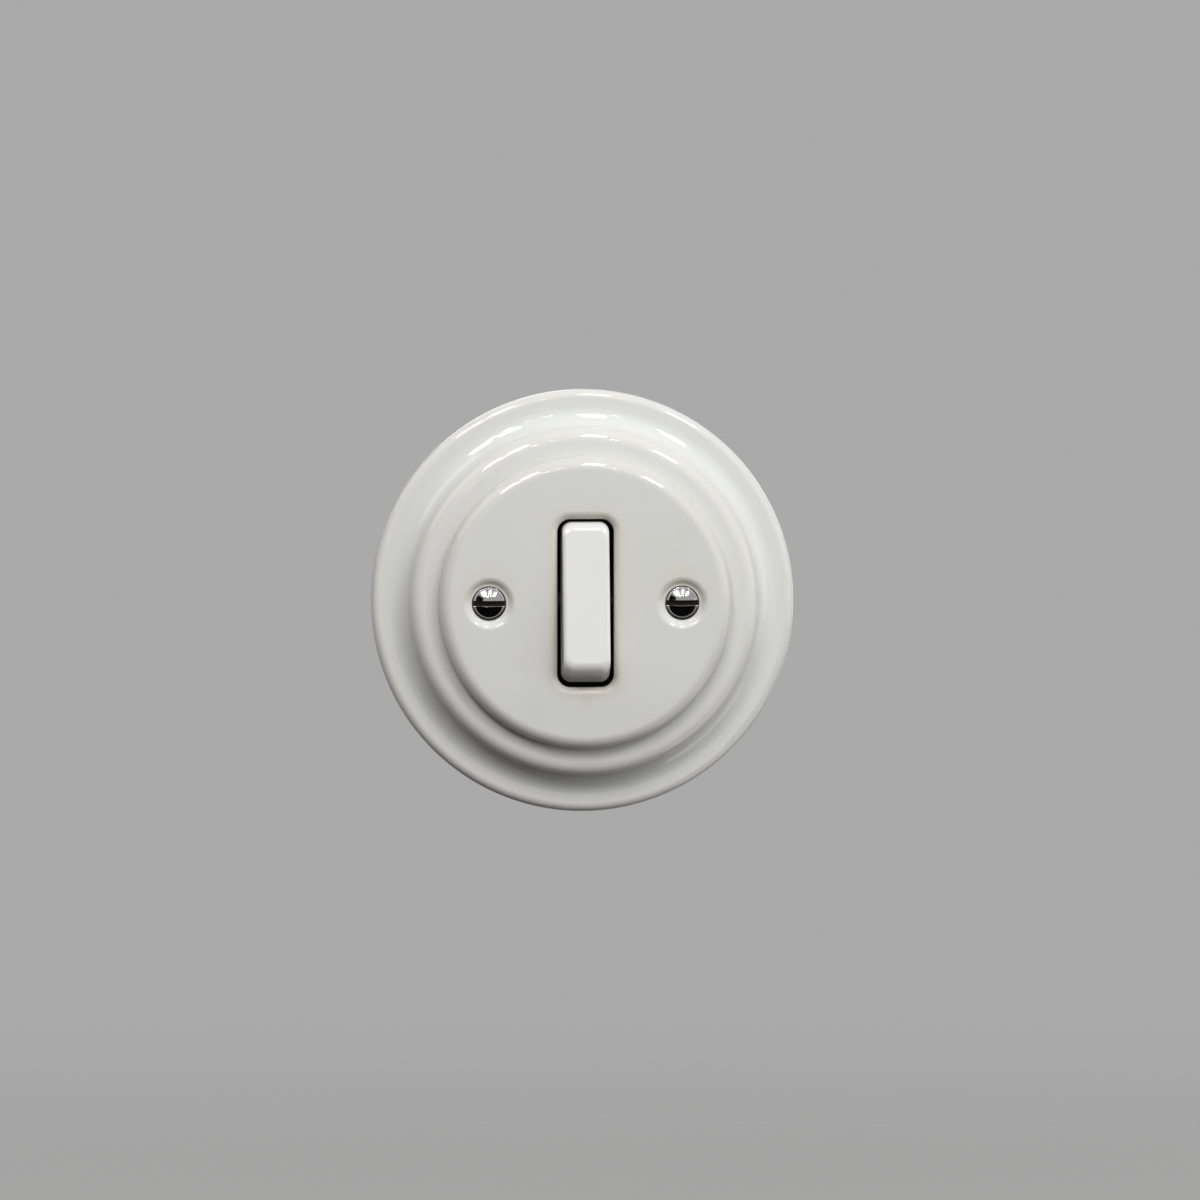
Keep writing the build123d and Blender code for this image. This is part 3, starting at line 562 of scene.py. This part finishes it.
# The groove's floor and outer side, the land and its broken rim, then the seat and a short tail.
head_rows += [
    (GROOVE_RADIUS + 0.02, GROOVE_DROP + 0.17), (GROOVE_RADIUS + 0.1, GROOVE_DROP + 0.17),
    (GROOVE_RADIUS + 0.13, GROOVE_DROP + 0.11), (HEAD_RADIUS - 0.05, GROOVE_DROP + 0.115),
    (HEAD_RADIUS - 0.015, GROOVE_DROP + 0.13), (HEAD_RADIUS, GROOVE_DROP + 0.165),
    (HEAD_RADIUS, rim_depth), (SHANK_RADIUS, seat_end),
    (SHANK_RADIUS - TAIL_INSET, seat_end + TAIL_LENGTH),
]
head = kept(turned(head_rows, HEAD_SIDES), "head_blank")
saw = bmesh.new()
bmesh.ops.create_cube(saw, size=1.0)
for corner in saw.verts:
    along, deep, wide = corner.co
    deep = deep * SAW_TALL + SLOT_DEEP - SAW_TALL / 2
    corner.co = Vector((along * SAW_LONG, deep, wide * SLOT_WIDE)) * MM
saw = kept(saw, "slitting_saw")
cut = head.modifiers.new("slot", "BOOLEAN")
cut.object = saw
cut.solver = "EXACT"
bpy.context.view_layer.update()
sawn_head = head.evaluated_get(bpy.context.evaluated_depsgraph_get())
slotted = bpy.data.meshes.new_from_object(sawn_head)
for spare in (head, saw):
    bpy.data.objects.remove(spare)

# %% Break the slot's edges
SHARP = math.radians(50)
EDGE_BREAK = 0.06
SAME_PLACE, ABOVE_FLOOR = 1e-3, 0.02


def on_slot_mouth(end):
    beside = abs(abs(end.co.z) / MM - SLOT_WIDE / 2)
    return beside < SAME_PLACE and end.co.y / MM < SLOT_DEEP - ABOVE_FLOOR


screw = bmesh.new()
screw.from_mesh(slotted)
sawn = [edge for edge in screw.edges
        if len(edge.link_faces) == 2 and edge.calc_face_angle() > SHARP
        and all(on_slot_mouth(end) for end in edge.verts)]
bmesh.ops.bevel(screw, geom=sawn, offset=EDGE_BREAK * MM, segments=2, profile=0.5,
                affect="EDGES", clamp_overlap=False)
print(len(sawn), "sawn edges broken")

# %% [markdown]
# The thread is a helix: the radius dips by the same zigzag at every turn, shifted a little further
# along with each step round. It runs out before the head and tapers at the tip.

# %% Threaded shank
THREAD_PITCH, THREAD_DEPTH = 0.7, 0.38
THREAD_SIDES, ROWS_A_TURN = 48, 8
CREST_SHARE, TIP_TAPER = 0.12, 0.45
SHANK_STARTS, PLAIN_LENGTH = 1.2, 0.3
SMOOTH_BELOW = math.radians(32)

screw_low, screw_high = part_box("cover_screws")
crown_place = screw_low[1] / MM
tip_depth = screw_high[1] / MM - crown_place
thread_start = seat_end + PLAIN_LENGTH


def thread(depth, turn):
    along = (depth / THREAD_PITCH - turn) % 1.0
    flank = abs(2 * along - 1)
    runs_in = min(1.0, max(0.0, (depth - thread_start) / THREAD_PITCH))
    cut_in = (flank - CREST_SHARE) / (1 - 2 * CREST_SHARE)
    return THREAD_DEPTH * runs_in * min(1.0, max(0.0, cut_in))


row_count = round((tip_depth - thread_start) / THREAD_PITCH * ROWS_A_TURN)
shank_rows = [(SHANK_RADIUS, rim_depth + SHANK_STARTS)]
for row in range(row_count + 1):
    depth = thread_start + (tip_depth - thread_start) * row / row_count
    taper = max(0.0, depth - (tip_depth - TIP_TAPER))
    shank_rows.append((SHANK_RADIUS - taper, depth))
shank = turned(shank_rows, THREAD_SIDES, thread)
shank_mesh = bpy.data.meshes.new("shank")
shank.to_mesh(shank_mesh)
shank.free()
screw.from_mesh(shank_mesh)

# %% Set both screws in their seats
pair = bmesh.new()
one = bpy.data.meshes.new("screw")
screw.to_mesh(one)
screw.free()
for side in (-1, 1):
    place = Matrix.Translation((side * (screw_high[0] - HEAD_RADIUS * MM), crown_place * MM, 0.0))
    fresh = one.copy()
    fresh.transform(place)
    pair.from_mesh(fresh)
    bpy.data.meshes.remove(fresh)
screws = kept(pair, "slotted_cover_screws")
for face in screws.data.polygons:
    face.use_smooth = True
screws.data.set_sharp_from_angle(angle=SMOOTH_BELOW)
screws.data.materials.clear()
screws.data.materials.append(chrome.material)
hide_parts("cover_screws")
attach(screws, "insert")
print("screws with", len(screws.data.polygons), "faces")

# %% [markdown]
# ## Light
#
# The light comes from above, mostly from the upper right, and little comes from below. So each
# step of the porcelain is bright above and shaded at its lower left, which shows its height.
#
# The world gives scattered light: a little from above, less and warmer from below, where it has
# bounced off things. The eye and the mirrors see a plain pale backdrop instead, which is what a
# switch on a catalogue page stands before.

# %% The room
BACKDROP = 0.40
ROOM_LEVELS = [(0.0, (0.037, 0.031, 0.023)), (0.4, (0.047, 0.041, 0.032)),
               (0.6, (0.1, 0.1, 0.099)), (1.0, (0.297, 0.3, 0.303))]

world = bpy.data.worlds.new("room")
bpy.context.scene.world = world
world.use_nodes = True
tree = world.node_tree


def world_node(kind, **settings):
    made = tree.nodes.new(kind)
    for name, value in settings.items():
        setattr(made, name, value)
    return made


direction = world_node("ShaderNodeTexCoord")
height = world_node("ShaderNodeSeparateXYZ")
share = world_node("ShaderNodeMapRange")
share.inputs["From Min"].default_value = -1.0
levels = world_node("ShaderNodeValToRGB")
while len(levels.color_ramp.elements) < len(ROOM_LEVELS):
    levels.color_ramp.elements.new(0.5)
for element, (place, level) in zip(levels.color_ramp.elements, ROOM_LEVELS):
    element.position = place
    element.color = (*level, 1.0)
ray = world_node("ShaderNodeLightPath")
mirrored = world_node("ShaderNodeMath", operation="MAXIMUM")
shown = world_node("ShaderNodeMath", operation="MAXIMUM")
choice = world_node("ShaderNodeMix", data_type="RGBA")
choice.inputs[MIX_SECOND].default_value = (BACKDROP, BACKDROP, BACKDROP, 1.0)
for start, end in (
    (direction.outputs["Generated"], height.inputs[0]),
    (height.outputs["Z"], share.inputs["Value"]),
    (share.outputs[0], levels.inputs[0]),
    (ray.outputs["Is Glossy Ray"], mirrored.inputs[0]),
    (ray.outputs["Is Transmission Ray"], mirrored.inputs[1]),
    (ray.outputs["Is Camera Ray"], shown.inputs[0]),
    (mirrored.outputs[0], shown.inputs[1]),
    (shown.outputs[0], choice.inputs[MIX_AMOUNT]),
    (levels.outputs[0], choice.inputs[MIX_FIRST]),
    (choice.outputs[MIX_RESULT], tree.nodes["Background"].inputs[0]),
):
    tree.links.new(start, end)
print("backdrop level", BACKDROP)

# %% [markdown]
# Soft square lamps stand round the switch, each given by how far it leans from the line of sight
# and by its place on the clock face, as turned from the right. Most of the light comes from high in
# front and from the upper right. Three weak ones graze the sides, so that no edge goes black. The
# glaze mirrors only those three, because the others would lay pale squares on its flat faces.
#
# Their strengths were found by lighting the switch with one lamp at a time and weighing the
# pictures against the photo. That beats guessing, because light from several lamps just adds up.

# %% Soft lamps
LAMP_DISTANCE = 1.6


def towards(lean, turn):
    """The way to what leans so far from the line of sight, at that place on the clock."""
    lean, turn = math.radians(lean), math.radians(turn)
    aside = math.sin(lean)
    return Vector((aside * math.cos(turn), -math.cos(lean), aside * math.sin(turn)))


def lamp(name, lean, turn, size, brightness, colour=(1.0, 1.0, 1.0)):
    """A lamp facing the switch, as bright in a mirror at any size, as its power grows with it."""
    away = towards(lean, turn)
    light = bpy.data.lights.new(name, "AREA")
    light.shape = "RECTANGLE"
    light.size, light.size_y = size
    light.energy = brightness * math.pi * size[0] * size[1]
    light.color = colour
    made = bpy.data.objects.new(name, light)
    bpy.context.scene.collection.objects.link(made)
    made.location = away * LAMP_DISTANCE
    across = towards(90, turn + 90)
    made.rotation_euler = Matrix((across, away.cross(across), away)).transposed().to_euler()
    return made


COOL, WARM = (0.965, 0.985, 1.0), (1.0, 0.93, 0.83)
SOFT_LAMPS = {
    "high": (58, 90, 0.9, 1.2),
    "high_right": (58, 45, 0.9, 1.5),
    "upper_right": (35, 25, 0.9, 0.95),
    "right": (58, 0, 0.9, 1.9),
    "front": (23, 95, 0.7, 1.5),
    "left_graze": (80, 140, 0.9, 1.5),
    "right_graze": (80, 0, 0.9, 0.9),
    "low_right_graze": (80, 315, 0.9, 1.4),
}
for name, (lean, turn, size, brightness) in SOFT_LAMPS.items():
    soft = lamp(name, lean, turn, (size, size), brightness, WARM if "low" in name else COOL)
    soft.visible_glossy = "graze" in name
print(len(SOFT_LAMPS), "soft lamps")

# %% [markdown]
# Four brighter lamps are narrow across and long towards the switch. They draw the short bright bars
# on every rounded edge, which show at a glance that the porcelain is glazed and how it is rounded.
# A row of small square lamps between them adds the bright dots that a glaze also shows.

# %% Strip lamps and small lamps
STRIP_LEAN, STRIP_SIZE = 48, (0.19, 0.55)
STRIPS = ((81.5, 10.5), (111, 10.0), (122, 10.5), (54.5, 13.0))
SMALL_SIZE, SMALL_BRIGHTNESS, LAMP_YELLOW = (0.05, 0.05), 45.0, (1.0, 0.86, 0.7)
SMALL_PLACES = ((33, 72), (30, 95), (31, 103), (33, 110), (36, 117), (40, 124))

for number, (turn, brightness) in enumerate(STRIPS):
    lamp(f"strip_{number}", STRIP_LEAN, turn, STRIP_SIZE, brightness)
for number, (lean, turn) in enumerate(SMALL_PLACES):
    lamp(f"small_{number}", lean, turn, SMALL_SIZE, SMALL_BRIGHTNESS, LAMP_YELLOW)
print(len(STRIPS), "strips and", len(SMALL_PLACES), "small lamps")

# %% [markdown]
# The back of the switch is looked at too. Two weak lamps light it from behind, and reach
# nothing that faces the front.

# %% Lamps for the back
BACK_SIZE = (0.9, 0.9)
BACK_LAMPS = {"back_high": (135, 110, 1.8), "back_side": (150, 10, 1.2)}

for name, (lean, turn, brightness) in BACK_LAMPS.items():
    lamp(name, lean, turn, BACK_SIZE, brightness)
print(len(BACK_LAMPS), "lamps behind")

# %% [markdown]
# Chrome shows whatever stands before it. Polished metal is photographed between black cards, which
# give it dark shapes to mirror: here one lies low in front and one stands at the left. Only
# mirrors see them. They throw no shadow and take no light from the porcelain.

# %% Black cards
CARD_HEIGHT, CARD_HALF_WIDTH, CARD_NEAR, CARD_FAR = -0.13, 0.8, -0.06, -1.15
CARD_DISTANCE = 1.2
LEFT_CORNERS = ((27, 172), (62, 176), (64, 143), (32, 136))
CARDS = {
    "black_card_low": [(-CARD_HALF_WIDTH, CARD_NEAR, CARD_HEIGHT),
                       (CARD_HALF_WIDTH, CARD_NEAR, CARD_HEIGHT),
                       (CARD_HALF_WIDTH, CARD_FAR, CARD_HEIGHT),
                       (-CARD_HALF_WIDTH, CARD_FAR, CARD_HEIGHT)],
    "black_card_left": [towards(*place) * CARD_DISTANCE for place in LEFT_CORNERS],
}
card_cloth = Finish("black_cloth", Roughness=0.95, IOR=1.0)
nap = card_cloth.blend(card_cloth.cloud(2), seen(6, 6, 6), seen(9, 9, 9))
card_cloth.surface(Base_Color=nap)
for name, corners in CARDS.items():
    card_mesh = bpy.data.meshes.new(name)
    card_mesh.from_pydata(corners, [], [[0, 1, 2, 3]])
    card_mesh.materials.append(card_cloth.material)
    card = bpy.data.objects.new(name, card_mesh)
    bpy.context.scene.collection.objects.link(card)
    card.visible_camera = card.visible_diffuse = False
    card.visible_shadow = card.visible_transmission = False
    print(name, "stands at", corners[0])

# %% [markdown]
# The switch hangs at the height at which it is used, upright. A plain pale floor lies below the
# picture and keeps its shadow. It melts into the backdrop, so that no horizon shows.

# %% Floor
FLOOR_HEIGHT = -0.19
FLOOR_RADIUS = 1.2
FADE_FROM, FADE_TO = 250.0, 1000.0
RIM_COUNT = 96
PALE_PAINT, PALE_PATCH = seen(175, 175, 174), seen(172, 172, 171)

rim = [(FLOOR_RADIUS * math.cos(turn * math.tau / RIM_COUNT),
        FLOOR_RADIUS * math.sin(turn * math.tau / RIM_COUNT), FLOOR_HEIGHT)
       for turn in range(RIM_COUNT)]
floor_mesh = bpy.data.meshes.new("floor")
floor_mesh.from_pydata(rim, [], [list(range(RIM_COUNT))])
floor = bpy.data.objects.new("floor", floor_mesh)
bpy.context.scene.collection.objects.link(floor)
floor_paint = Finish("floor_paint", Roughness=0.9, IOR=1.0)
from_middle = (floor_paint.x * floor_paint.x + floor_paint.y * floor_paint.y) ** 0.5
floor_paint.surface(
    Base_Color=floor_paint.blend(floor_paint.cloud(60) * 0.3, PALE_PAINT, PALE_PATCH),
    Alpha=from_middle.step(FADE_TO, FADE_FROM),
)
floor_mesh.materials.append(floor_paint.material)
floor.visible_diffuse = floor.visible_glossy = False
print("floor at", FLOOR_HEIGHT)
